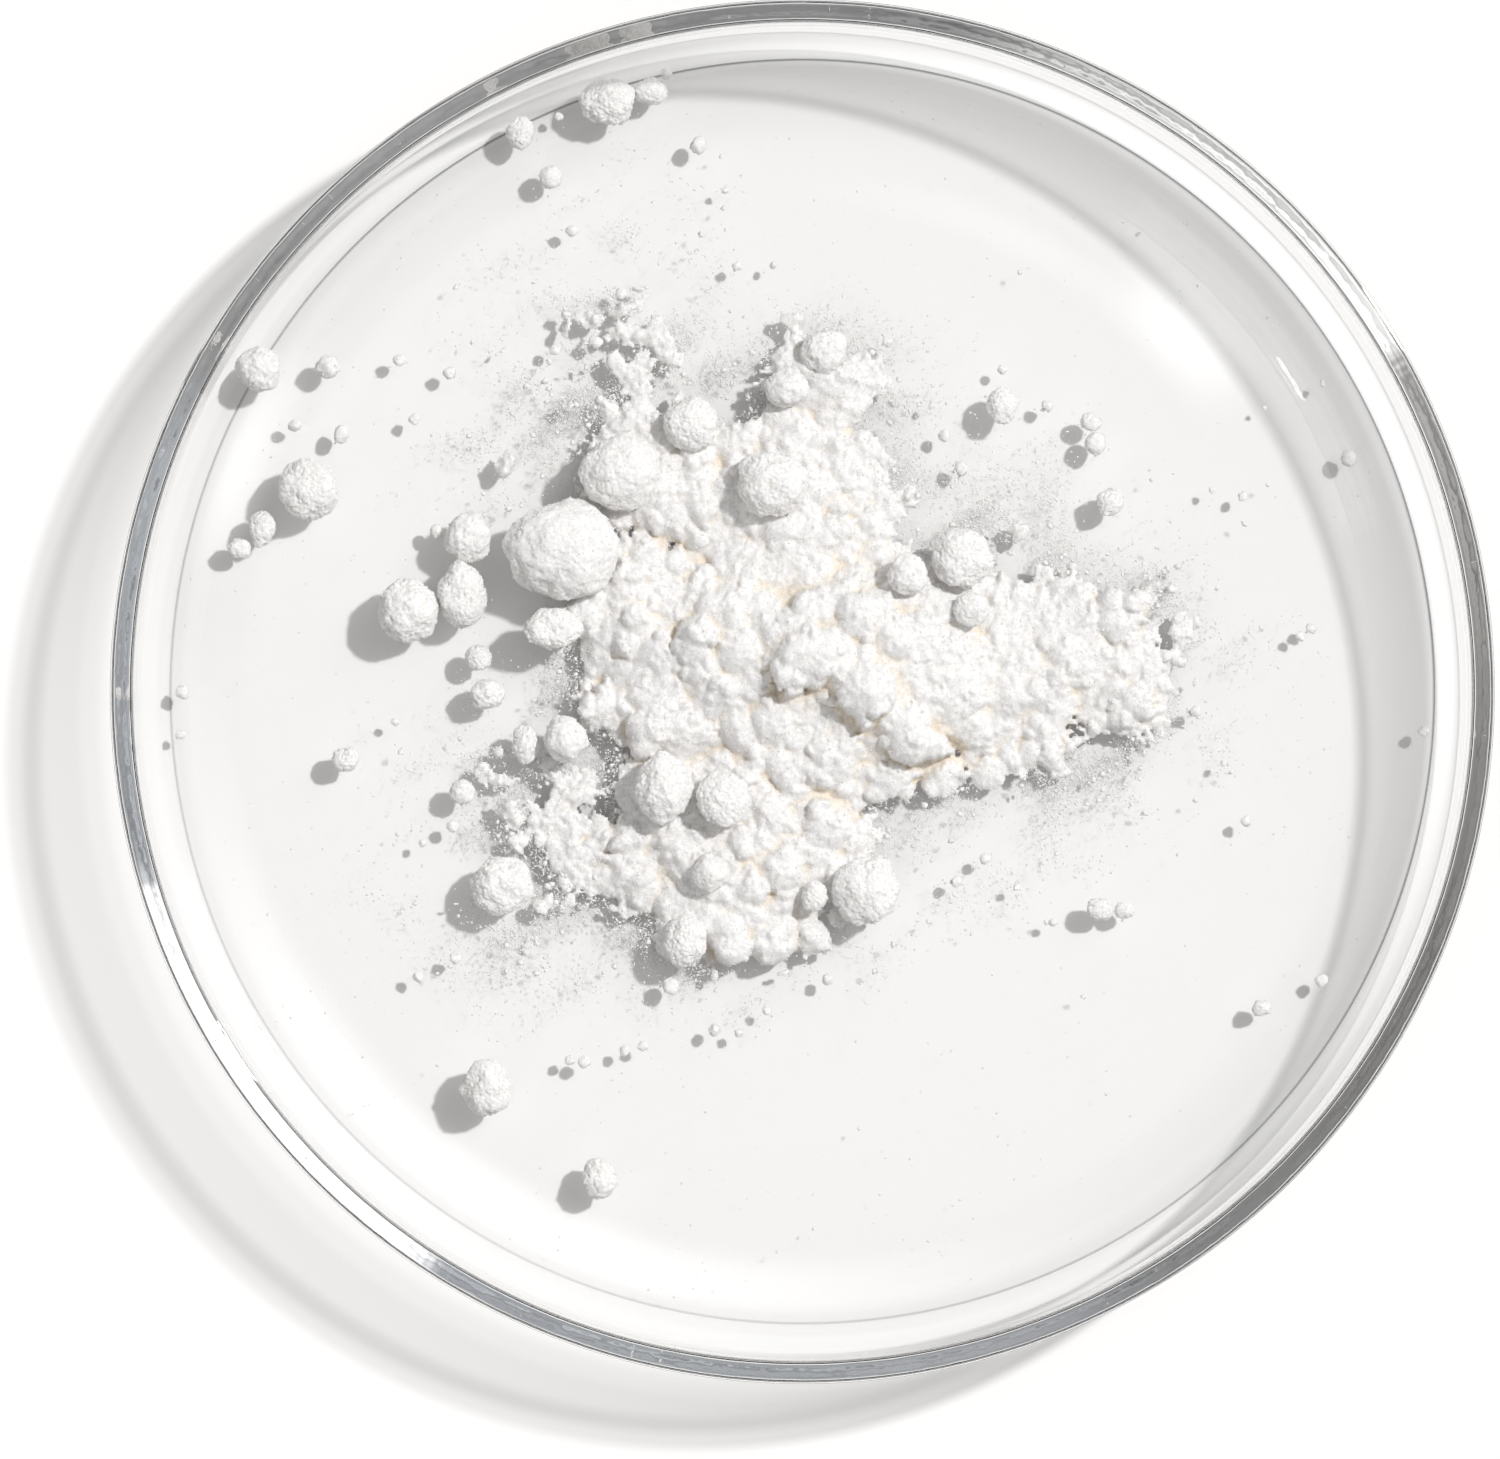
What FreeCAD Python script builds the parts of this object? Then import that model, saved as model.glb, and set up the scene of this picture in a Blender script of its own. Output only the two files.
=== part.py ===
"""Open glass petri dish, 100 mm across and 15 mm high, holding loose white powder.

+Z is up. The origin is the centre of the dish on the surface it stands on.
The dish is one moulded piece of glass. The powder is one low mound, separate lumps and small crumbs.
Every piece is written to its own STEP file.
"""

import FreeCAD
import Part
import math
import os

# Glass dish
OUTER_RADIUS = 50.0
HEIGHT = 15.0
WALL = 1.65
FLOOR = 1.8
UNDERSIDE_LIFT = 0.2          # the underside stands clear of the table inside the foot ring
FOOT_INNER_RADIUS = 46.1
FOOT_SLOPE = 0.2              # width of the slope between the foot ring and the raised underside
INNER_CORNER = 2.6
OUTER_CORNER = 3.2
RIM_CROWN = 0.15              # rise of the slightly domed, ground and fire-polished rim

FLOOR_TOP = UNDERSIDE_LIFT + FLOOR
INNER_RADIUS = OUTER_RADIUS - WALL

# Powder
GAP = 0.05                    # clearance between a powder solid and the glass or the next powder solid
SETTLE = 0.12                 # share of a lump's half height that is pressed flat where it lies

# Low heaps that make up the mound: x, y, half width, half depth, height
HEAPS = [
    (2.5, 1.5, 14.0, 11.5, 4.6),
    (-11.5, 1.0, 11.5, 12.0, 3.0),
    (-5.0, 14.5, 12.5, 8.5, 2.4),
    (-4.0, -11.5, 12.0, 9.5, 2.6),
    (15.5, 3.0, 10.0, 7.0, 1.8),
    (0.5, 22.5, 5.0, 5.5, 1.3),
]

# Lumps by region: x, y, half width, half depth, half height, height of the powder they lie on
LUMPS = {
    "left": [
        (-28.7, 5.9, 2.25, 2.25, 2.1, 0.0),
        (-24.7, 6.9, 1.7, 2.4, 1.9, 0.0),
        (-24.2, 11.3, 1.7, 1.8, 1.6, 0.0),
        (-35.8, 14.7, 2.15, 2.15, 2.0, 0.0),
        (-39.3, 11.9, 0.9, 1.3, 0.9, 0.0),
        (-40.9, 10.4, 0.85, 0.7, 0.65, 0.0),
        (-34.5, 23.6, 0.9, 0.85, 0.8, 0.0),
        (-33.2, -4.9, 0.95, 0.85, 0.8, 0.0),
        (-24.7, -7.3, 0.9, 0.9, 0.8, 0.0),
    ],
    "wall": [
        (-14.2, 42.9, 2.1, 1.65, 1.6, 0.0),
        (-11.0, 43.6, 1.2, 1.0, 0.9, 0.0),
        (-20.5, 40.6, 1.0, 1.15, 1.0, 0.0),
        (-39.5, 23.4, 1.6, 1.6, 1.5, 0.0),
        (-18.3, 37.4, 0.8, 0.8, 0.7, 0.0),
    ],
    "lower": [
        (-23.0, -28.8, 1.75, 2.1, 1.7, 0.0),
        (-14.8, -35.3, 1.2, 1.5, 1.2, 0.0),
        (-21.8, -14.1, 2.35, 2.1, 1.6, 0.0),
        (-22.9, -0.2, 1.2, 1.1, 1.0, 0.0),
        (-23.5, 2.5, 0.95, 0.9, 0.8, 0.0),
    ],
    "right": [
        (14.5, 20.8, 1.15, 1.35, 1.1, 0.0),
        (21.0, 19.6, 0.75, 0.65, 0.65, 0.0),
        (21.3, 18.0, 0.8, 0.75, 0.7, 0.0),
        (22.4, 13.7, 0.95, 0.95, 0.9, 0.0),
        (21.6, -15.8, 0.95, 0.8, 0.8, 0.0),
        (23.4, -15.9, 0.7, 0.6, 0.6, 0.0),
        (33.4, -23.0, 0.7, 0.6, 0.55, 0.0),
    ],
    "upper_mound": [
        (-17.3, 10.4, 4.1, 3.75, 3.0, 0.5),
        (-2.2, 15.1, 2.7, 2.4, 2.0, 1.8),
        (-13.3, 16.0, 2.9, 2.7, 2.2, 0.7),
        (-8.1, 19.5, 2.0, 1.9, 1.7, 0.9),
        (-1.2, 22.0, 1.6, 1.5, 1.2, 0.9),
        (1.6, 24.7, 1.6, 1.5, 1.3, 0.5),
        (11.6, 9.7, 2.2, 2.1, 1.7, 1.5),
        (7.7, 8.4, 1.45, 1.4, 1.2, 3.0),
        (12.2, 6.0, 1.25, 1.2, 1.0, 2.6),
    ],
    "lower_mound": [
        (4.6, -14.4, 2.45, 2.4, 2.0, 0.4),
        (-10.1, -7.0, 2.0, 2.4, 1.9, 2.0),
        (-5.7, -7.8, 2.0, 2.0, 1.7, 2.4),
        (-6.6, -13.1, 1.4, 1.35, 1.1, 2.4),
        (0.9, -14.9, 1.0, 1.0, 0.9, 1.5),
        (-8.4, -18.0, 1.5, 2.0, 1.6, 0.3),
        (-17.2, -3.5, 1.55, 1.7, 1.5, 1.2),
        (-20.1, -3.8, 0.75, 1.45, 1.0, 0.3),
        (-18.2, 4.6, 2.1, 1.6, 1.4, 1.6),
    ],
}

# Crumbs by region: x, y, half width. Each region is one group of separate solids.
CRUMBS = {
    "crumbs_left": [
        (-26.6, 11.6, 0.5), (-36.9, 19.3, 0.5), (-33.5, 18.7, 0.6), (-29.3, 24.1, 0.45),
        (-28.2, 19.8, 0.4), (-25.6, 23.2, 0.45), (-45.1, 0.0, 0.5), (-45.2, -3.2, 0.35),
        (-29.6, -2.2, 0.3), (-25.4, -9.8, 0.45), (-27.6, -11.0, 0.3),
    ],
    "crumbs_upper": [
        (-7.5, 39.7, 0.6), (-5.6, 36.4, 0.25), (-2.1, 31.0, 0.3), (-16.8, 33.5, 0.4),
        (-4.7, 30.9, 0.35), (-13.2, 28.9, 0.4), (-15.0, 25.4, 0.45), (6.2, 25.4, 0.4),
        (-18.0, 24.8, 0.35), (-9.9, 44.9, 0.45), (-17.7, 41.8, 0.3),
    ],
    "crumbs_right": [
        (17.8, 20.8, 0.45), (14.5, 23.4, 0.35), (10.3, 18.6, 0.45), (9.4, 20.8, 0.25),
        (11.6, 16.2, 0.5), (39.7, 17.0, 0.55), (37.8, 22.4, 0.25), (33.6, 20.6, 0.2),
        (37.0, 4.6, 0.4), (32.0, 14.2, 0.35), (36.2, 4.0, 0.35), (45.2, -2.9, 0.45),
        (32.2, -9.4, 0.4), (30.6, -5.2, 0.25), (29.8, 14.6, 0.25), (37.7, -21.0, 0.45),
        (28.6, -1.4, 0.4), (26.4, 2.6, 0.5),
    ],
    "crumbs_lower": [
        (-9.5, -21.4, 0.65), (-11.6, -25.8, 0.4), (-12.9, -26.1, 0.35), (-15.8, -26.9, 0.5),
        (-16.9, -26.8, 0.35), (-27.9, -20.7, 0.4), (-25.2, -19.4, 0.45), (-6.4, -24.6, 0.4),
        (-4.6, -24.8, 0.35), (11.2, -13.8, 0.4), (13.3, -12.2, 0.4), (15.6, -14.2, 0.3),
        (18.2, -16.8, 0.35), (1.8, -20.9, 0.4), (-2.6, -23.2, 0.3),
    ],
}


def arc_edge(centre_r, centre_z, radius, start_degrees, end_degrees):
    """Arc in the XZ plane through its start, middle and end angles."""
    points = []
    for degrees in (start_degrees, (start_degrees + end_degrees) / 2.0, end_degrees):
        turn = math.radians(degrees)
        x = centre_r + radius * math.cos(turn)
        z = centre_z + radius * math.sin(turn)
        points.append(FreeCAD.Vector(x, 0.0, z))
    return Part.Arc(*points).toShape()


def crown_edge(outer_r, inner_r, edge_z, crown):
    """Shallow arc from the outer to the inner wall, highest in the middle."""
    outer = FreeCAD.Vector(outer_r, 0.0, edge_z)
    middle = FreeCAD.Vector((outer_r + inner_r) / 2.0, 0.0, edge_z + crown)
    inner = FreeCAD.Vector(inner_r, 0.0, edge_z)
    return Part.Arc(outer, middle, inner).toShape()


def revolved(edges):
    """Closed solid from a profile in the XZ plane, turned round the Z axis."""
    face = Part.Face(Part.Wire(Part.__sortEdges__(edges)))
    axis_point = FreeCAD.Vector(0, 0, 0)
    axis_direction = FreeCAD.Vector(0, 0, 1)
    return face.revolve(axis_point, axis_direction, 360)


def line_edge(start, end):
    """Straight edge between two (radius, height) points of a profile."""
    first = FreeCAD.Vector(start[0], 0.0, start[1])
    last = FreeCAD.Vector(end[0], 0.0, end[1])
    return Part.LineSegment(first, last).toShape()


def make_dish():
    """The glass: flat floor, upright wall, slightly domed rim and a foot ring inside the outer corner."""
    rim_z = HEIGHT - RIM_CROWN
    outer_corner_r = OUTER_RADIUS - OUTER_CORNER
    inner_corner_r = INNER_RADIUS - INNER_CORNER
    inner_corner_z = FLOOR_TOP + INNER_CORNER
    slope_end = FOOT_INNER_RADIUS - FOOT_SLOPE
    edges = [
        line_edge((0.0, UNDERSIDE_LIFT), (slope_end, UNDERSIDE_LIFT)),
        line_edge((slope_end, UNDERSIDE_LIFT), (FOOT_INNER_RADIUS, 0.0)),
        line_edge((FOOT_INNER_RADIUS, 0.0), (outer_corner_r, 0.0)),
        arc_edge(outer_corner_r, OUTER_CORNER, OUTER_CORNER, -90.0, 0.0),
        line_edge((OUTER_RADIUS, OUTER_CORNER), (OUTER_RADIUS, rim_z)),
        crown_edge(OUTER_RADIUS, INNER_RADIUS, rim_z, RIM_CROWN),
        line_edge((INNER_RADIUS, rim_z), (INNER_RADIUS, inner_corner_z)),
        arc_edge(inner_corner_r, inner_corner_z, INNER_CORNER, 0.0, -90.0),
        line_edge((inner_corner_r, FLOOR_TOP), (0.0, FLOOR_TOP)),
        line_edge((0.0, FLOOR_TOP), (0.0, UNDERSIDE_LIFT)),
    ]
    return revolved(edges)


def make_powder_room():
    """The space inside the dish that powder may fill, one gap away from the glass."""
    wall_r = INNER_RADIUS - GAP
    bottom = FLOOR_TOP + GAP
    corner = INNER_CORNER - GAP
    corner_r = wall_r - corner
    edges = [
        line_edge((0.0, bottom), (corner_r, bottom)),
        arc_edge(corner_r, bottom + corner, corner, -90.0, 0.0),
        line_edge((wall_r, bottom + corner), (wall_r, HEIGHT)),
        line_edge((wall_r, HEIGHT), (0.0, HEIGHT)),
        line_edge((0.0, HEIGHT), (0.0, bottom)),
    ]
    return revolved(edges)


def ellipsoid(x, y, z, half_x, half_y, half_z):
    """Ellipsoid with its axes along X, Y and Z."""
    stretch = FreeCAD.Matrix()
    stretch.scale(half_x, half_y, half_z)
    solid = Part.makeSphere(1.0).transformGeometry(stretch)
    solid.translate(FreeCAD.Vector(x, y, z))
    return solid


def make_heap(x, y, half_x, half_y, height):
    """Low heap: the top half of the upper half of an ellipsoid centred one height below the floor."""
    spread = 1.0 / math.cos(math.radians(30.0))
    bottom = FLOOR_TOP + GAP
    return ellipsoid(x, y, bottom - height, half_x * spread, half_y * spread, 2.0 * height)


def make_lump(x, y, half_x, half_y, half_z, base, grow=0.0):
    """One rounded lump that lies on its slightly flattened underside, base above the glass floor."""
    centre_z = FLOOR_TOP + GAP + base + half_z * (1.0 - SETTLE)
    return ellipsoid(x, y, centre_z, half_x + grow, half_y + grow, half_z + grow)


def make_crumb(x, y, half_width):
    """One crumb, a little lower than it is wide."""
    half_z = 0.85 * half_width
    centre_z = FLOOR_TOP + GAP + half_z * (1.0 - SETTLE)
    return ellipsoid(x, y, centre_z, half_width, half_width, half_z)


def near(first, second):
    """Whether two solids are close enough for one to need room from the other."""
    return first.BoundBox.intersect(second.BoundBox)


def save(shape, node):
    """Write one node's STEP file and report its solids and volume."""
    shape.exportStep("parts/" + node + ".step")
    print(node, len(shape.Solids), "solid(s)", round(shape.Volume, 3), "mm3", shape.isValid())


def main():
    os.makedirs("parts", exist_ok=True)
    save(make_dish(), "dish")

    room = make_powder_room()
    placed = []
    for region, lumps in LUMPS.items():
        for number, lump in enumerate(lumps, start=1):
            solid = make_lump(*lump).common(room)
            for other in placed:
                if near(solid, other):
                    solid = solid.cut(other)
            save(solid, "lump_" + region + "_" + str(number))
            placed.append(make_lump(*lump, grow=GAP))

    mound = make_heap(*HEAPS[0])
    for heap in HEAPS[1:]:
        mound = mound.fuse(make_heap(*heap))
    mound = mound.common(room)
    for other in placed:
        if near(mound, other):
            mound = mound.cut(other)
    save(max(mound.Solids, key=lambda solid: solid.Volume), "powder_mound")

    for node, crumbs in CRUMBS.items():
        solids = []
        for crumb in crumbs:
            solids.append(make_crumb(*crumb).common(room).Solids[0])
        save(Part.makeCompound(solids), node)


main()
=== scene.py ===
import math

import bmesh
import bpy
import numpy as np
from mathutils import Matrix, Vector
from mathutils.geometry import delaunay_2d_cdt


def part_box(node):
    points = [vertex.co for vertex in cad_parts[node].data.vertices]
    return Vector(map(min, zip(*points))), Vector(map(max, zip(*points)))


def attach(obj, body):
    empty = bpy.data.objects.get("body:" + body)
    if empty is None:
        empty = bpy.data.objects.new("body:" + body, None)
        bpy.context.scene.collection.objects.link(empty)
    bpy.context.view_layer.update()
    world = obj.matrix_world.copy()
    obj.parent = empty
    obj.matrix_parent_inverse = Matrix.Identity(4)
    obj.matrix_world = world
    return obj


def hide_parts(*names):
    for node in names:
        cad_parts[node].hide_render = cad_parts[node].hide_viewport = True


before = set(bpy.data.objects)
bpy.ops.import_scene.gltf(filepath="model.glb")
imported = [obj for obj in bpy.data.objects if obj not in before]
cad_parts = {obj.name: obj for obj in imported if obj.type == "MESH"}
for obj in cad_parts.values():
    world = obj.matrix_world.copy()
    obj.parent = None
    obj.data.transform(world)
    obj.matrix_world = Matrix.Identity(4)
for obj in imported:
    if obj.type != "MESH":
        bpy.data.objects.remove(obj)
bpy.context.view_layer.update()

MM = 0.001

# Glass dish, in metres. The outside size comes from the CAD node's own box.
OUTER_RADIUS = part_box("dish")[1].x
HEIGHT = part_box("dish")[1].z
WALL = 1.65 * MM
UNDERSIDE_LIFT = 0.2 * MM
FLOOR_TOP = 2.0 * MM
FOOT_INNER_RADIUS = 46.1 * MM
UNDERSIDE_RADII = [12.0 * MM, 25.0 * MM, 39.1 * MM]
FLOOR_RADII = [36.0 * MM, 25.0 * MM, 12.0 * MM]
FOOT_SLOPE = 0.2 * MM
PAINTED_FOOT_LINE = 0.22 * MM         # half width of the painted dark line along the foot's inner edge
INNER_CORNER = 2.6 * MM
OUTER_CORNER = 3.2 * MM
CORNER_STEPS = 18
WALL_STEPS = 10
RIM_STEPS = 24
RIM_CROWN = 0.15 * MM
BEND_START = 44.3 * MM        # light is dimmed outward from here, in the thick corner
INNER_RADIUS = OUTER_RADIUS - WALL
DISH_TURNS = 720

# Powder, in millimetres
BED = FLOOR_TOP / MM + 0.02   # the powder's underside
MOUND_STEP = 0.125            # grid spacing of the mound's surface
GRAINS_PER_AREA = 22.0        # grains that cling to each square millimetre of the mound
GRAINS_PER_PIECE = 24000
MOUND_EDGE = 0.05             # the mound ends where its surface is this low

# Low heaps under the mound's surface: x, y, half width, half depth, height
HEAPS = [
    (2.0, 1.5, 13.5, 11.0, 2.9),
    (-8.5, 2.5, 9.0, 9.0, 2.7),
    (-10.2, 15.0, 6.4, 5.8, 1.9),
    (-1.0, 12.5, 8.0, 8.0, 2.1),
    (1.8, 21.8, 4.2, 4.4, 1.3),
    (-4.6, -10.6, 11.0, 9.0, 2.6),
    (15.0, 1.2, 12.0, 8.0, 1.7),
    (-12.6, 23.4, 3.8, 4.0, 0.3),
    (-16.4, -10.6, 5.0, 4.6, 0.4),
]

# Where fine powder lies thinly on the glass beside the mound: x, y, half width, half depth, density
DUSTINGS = [
    (-12.8, 22.6, 4.6, 5.2, 0.9),
    (-20.4, 16.2, 4.2, 3.2, 0.6),
    (3.6, 22.6, 4.6, 3.6, 0.7),
    (13.4, 13.0, 5.2, 4.2, 0.7),
    (25.0, -2.0, 5.0, 6.0, 0.5),
    (10.6, -10.4, 8.0, 3.4, 0.7),
    (-17.6, -9.6, 4.6, 5.4, 0.9),
    (-16.0, -1.0, 4.0, 6.0, 0.6),
    (-13.6, -17.0, 5.0, 4.0, 0.5),
]

# The steep-sided top of the mound, piled on the heaps: x, y, half width, half depth, height, angle
TOPS = [
    (5.4, 3.4, 9.6, 6.4, 2.2, -16.0),
    (-4.2, 3.6, 4.6, 5.4, 1.3, 15.0),
    (1.0, -3.4, 4.2, 2.6, 0.9, -30.0),
]

# Clumps half sunk in the mound: x, y, radius
CLUMPS = [
    (-7.4, 13.5, 1.3), (-10.4, 12.4, 0.95), (-7.5, 11.0, 1.0), (-9.4, 9.3, 1.1), (-12.8, 8.2, 1.5),
    (-5.3, 5.2, 1.9), (0.8, 5.4, 1.2), (0.0, 2.2, 1.3), (-5.6, 0.3, 1.5), (-0.7, -0.5, 1.5),
    (4.0, 0.5, 1.0), (-10.9, -2.5, 1.7), (6.4, -6.1, 1.7), (10.2, -6.1, 1.7), (13.5, -6.1, 1.5),
    (-0.8, -7.1, 1.2), (-2.3, -8.8, 1.5), (1.9, -9.9, 1.9), (-4.5, -11.0, 1.3), (-1.5, -12.9, 1.7),
    (-3.8, -14.3, 1.3), (-12.4, -10.6, 1.7), (-11.7, -14.0, 1.7), (-5.3, -17.4, 1.8), (-2.3, -18.2, 1.8),
    (0.6, -17.8, 1.5), (2.6, 13.1, 1.2), (-1.5, 12.0, 1.4), (15.8, 11.6, 1.0), (22.6, 5.2, 1.5),
    (19.2, 2.9, 1.7), (24.3, -0.8, 1.2), (-14.4, -1.2, 1.4), (-9.0, 2.4, 1.3), (-12.6, 3.6, 1.2),
    (-4.4, 3.2, 2.4), (0.4, 2.6, 2.3), (4.6, 0.2, 2.2), (-2.2, -2.0, 2.0), (7.6, -2.4, 2.0),
    (-15.6, 5.4, 1.8), (-11.8, 19.6, 1.6), (-13.6, 24.0, 0.9),
    (-10.8, 26.6, 0.8), (-12.0, 28.0, 0.6), (-21.6, 16.2, 1.0),
]


def smooth_noise(x, y, z, table):
    """Random value from -1 to 1 that changes smoothly over a distance of one."""
    size = len(table)
    cell = [np.floor(v).astype(int) for v in (x, y, z)]
    part = [v - c for v, c in zip((x, y, z), cell)]
    part = [p * p * (3.0 - 2.0 * p) for p in part]
    total = np.zeros(np.shape(x))
    for corner in range(8):
        step = [corner & 1, corner >> 1 & 1, corner >> 2 & 1]
        weight = np.ones(np.shape(x))
        for s, p in zip(step, part):
            weight = weight * (p if s else 1.0 - p)
        a, b, c = [(n + s) % size for n, s in zip(cell, step)]
        total += weight * table[a, b, c]
    return total


NOISE_TABLE = np.random.default_rng(3).random((64, 64, 64)) * 2.0 - 1.0
GRAIN_TABLE = np.random.default_rng(4).random((48, 48, 48, 3))


def fractal_noise(x, y, z, octaves, gain=0.5):
    """Several layers of smooth noise, each one twice as fine and weaker by the gain."""
    total = np.zeros(np.shape(x))
    for k in range(octaves):
        shift = 5.37 * k
        near_x, near_y, near_z = x * 2.0 ** k + shift, y * 2.0 ** k - shift, z * 2.0 ** k + 2.0 * shift
        total += gain ** k * smooth_noise(near_x, near_y, near_z, NOISE_TABLE)
    return total


def grain_noise(x, y, z):
    """Height from 0 to 1 of packed round grains, one in each unit cell."""
    size = len(GRAIN_TABLE)
    cell = [np.floor(v - 0.5).astype(int) for v in (x, y, z)]
    nearest = np.full(np.shape(x), 9.0)
    for corner in range(8):
        a, b, c = [n + (corner >> k & 1) for k, n in enumerate(cell)]
        jitter = GRAIN_TABLE[a % size, b % size, c % size]
        away = (a + jitter[..., 0] - x) ** 2 + (b + jitter[..., 1] - y) ** 2 + (c + jitter[..., 2] - z) ** 2
        nearest = np.minimum(nearest, away)
    return np.sqrt(np.clip(1.0 - nearest / 0.75, 0.0, 1.0))


def build_mesh(name, verts, faces):
    """A smooth-shaded mesh object in the scene."""
    mesh = bpy.data.meshes.new(name)
    mesh.from_pydata([tuple(v) for v in verts], [], faces)
    mesh.polygons.foreach_set("use_smooth", [True] * len(mesh.polygons))
    mesh.update()
    piece = bpy.data.objects.new(name, mesh)
    bpy.context.scene.collection.objects.link(piece)
    return piece


def add_values(piece, name, values):
    """A value at every vertex, for the piece's material."""
    layer = piece.data.attributes.new(name, "FLOAT", "POINT")
    layer.data.foreach_set("value", np.asarray(values, dtype=np.float32))


def make_part(piece, body, material, nodes=()):
    """Give a piece its material, the body it moves with and the CAD nodes it stands for."""
    piece.data.materials.append(material)
    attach(piece, body)
    if nodes:
        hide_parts(*nodes)


# ---- glass dish

def arc_points(centre_r, centre_z, radius, start, end, steps):
    """Points (radius, height) of an arc in the dish's section, between two angles in degrees."""
    points = []
    for step in range(steps + 1):
        turn = math.radians(start + (end - start) * step / steps)
        points.append((centre_r + radius * math.cos(turn), centre_z + radius * math.sin(turn)))
    return points


def line_points(start, end, steps):
    """Points between the ends of a straight run, without the ends."""
    points = []
    for step in range(1, steps):
        share = step / steps
        points.append((start[0] + (end[0] - start[0]) * share, start[1] + (end[1] - start[1]) * share))
    return points


def dish_profile():
    """The dish's section from under its centre, round the wall, to the centre of its floor."""
    foot = (FOOT_INNER_RADIUS, 0.0)
    slope_end = (FOOT_INNER_RADIUS - FOOT_SLOPE, UNDERSIDE_LIFT)
    outer_centre = OUTER_RADIUS - OUTER_CORNER
    outer_corner = arc_points(outer_centre, OUTER_CORNER, OUTER_CORNER, -90.0, 0.0, CORNER_STEPS)
    rim = []
    for step in range(RIM_STEPS + 1):
        turn = math.pi * step / RIM_STEPS
        across = math.cos(turn) * WALL / 2.0
        rim.append((OUTER_RADIUS - WALL / 2.0 + across, HEIGHT - RIM_CROWN + math.sin(turn) * RIM_CROWN))
    inner_centre = INNER_RADIUS - INNER_CORNER
    inner_height = FLOOR_TOP + INNER_CORNER
    inner_corner = arc_points(inner_centre, inner_height, INNER_CORNER, 0.0, -90.0, CORNER_STEPS)
    points = [(r, UNDERSIDE_LIFT) for r in UNDERSIDE_RADII]
    points += [slope_end, foot]
    points += outer_corner
    points += line_points(outer_corner[-1], rim[0], WALL_STEPS)
    points += rim
    points += line_points(rim[-1], inner_corner[0], WALL_STEPS)
    points += inner_corner
    points += [(r, FLOOR_TOP) for r in [BEND_START] + FLOOR_RADII]
    return points


def light_loss(r, z, facing_light):
    """How strongly the glass dims light here: most at the rim's inner edge, not at all on the floor."""
    if z > HEIGHT - 1.6 * MM:
        return 1.7 if r < OUTER_RADIUS - 0.7 * WALL else 0.4
    if z > FLOOR_TOP + INNER_CORNER:
        return 0.45
    if BEND_START + 0.1 * MM < r < INNER_RADIUS - INNER_CORNER + 0.8 * MM:
        return 0.5 * facing_light
    return 0.0


def make_dish():
    """The glass, turned round its axis, with how strongly it dims light at every vertex."""
    profile = dish_profile()
    count = len(profile)
    verts = []
    for k in range(DISH_TURNS):
        turn = 2.0 * math.pi * k / DISH_TURNS
        for r, z in profile:
            verts.append((r * math.cos(turn), r * math.sin(turn), z))
    losses = []
    for k in range(DISH_TURNS):
        facing_light = 0.5 + 0.5 * math.cos(math.radians(360.0 * k / DISH_TURNS - 50.0))
        losses += [light_loss(r, z, facing_light) for r, z in profile]
    losses += [0.0, 0.0]
    faces = []
    for k in range(DISH_TURNS):
        here = k * count
        there = (k + 1) % DISH_TURNS * count
        for i in range(count - 1):
            faces.append((here + i, there + i, there + i + 1, here + i + 1))
    middle = len(verts)
    verts += [(0.0, 0.0, UNDERSIDE_LIFT), (0.0, 0.0, FLOOR_TOP)]
    for k in range(DISH_TURNS):
        here = k * count
        there = (k + 1) % DISH_TURNS * count
        faces.append((middle, there, here))
        faces.append((middle + 1, here + count - 1, there + count - 1))
    piece = build_mesh("glass_dish", verts, faces)
    add_values(piece, "loss", losses)
    return piece


def node_of(tree, kind, **settings):
    """A new shader node with the given settings."""
    node = tree.nodes.new(kind)
    for key, value in settings.items():
        setattr(node, key, value)
    return node


def soft_step(tree, value, middle, half_width):
    """One at the middle, falling smoothly to zero at the half width on either side."""
    link = tree.links.new
    away = node_of(tree, "ShaderNodeMath", operation="SUBTRACT")
    away.inputs[1].default_value = middle
    size = node_of(tree, "ShaderNodeMath", operation="ABSOLUTE")
    fall = node_of(tree, "ShaderNodeMapRange", interpolation_type="SMOOTHSTEP")
    fall.inputs["From Max"].default_value = half_width
    fall.inputs["To Min"].default_value = 1.0
    fall.inputs["To Max"].default_value = 0.0
    link(value, away.inputs[0])
    link(away.outputs[0], size.inputs[0])
    link(size.outputs[0], fall.inputs["Value"])
    return fall.outputs["Result"]


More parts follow.
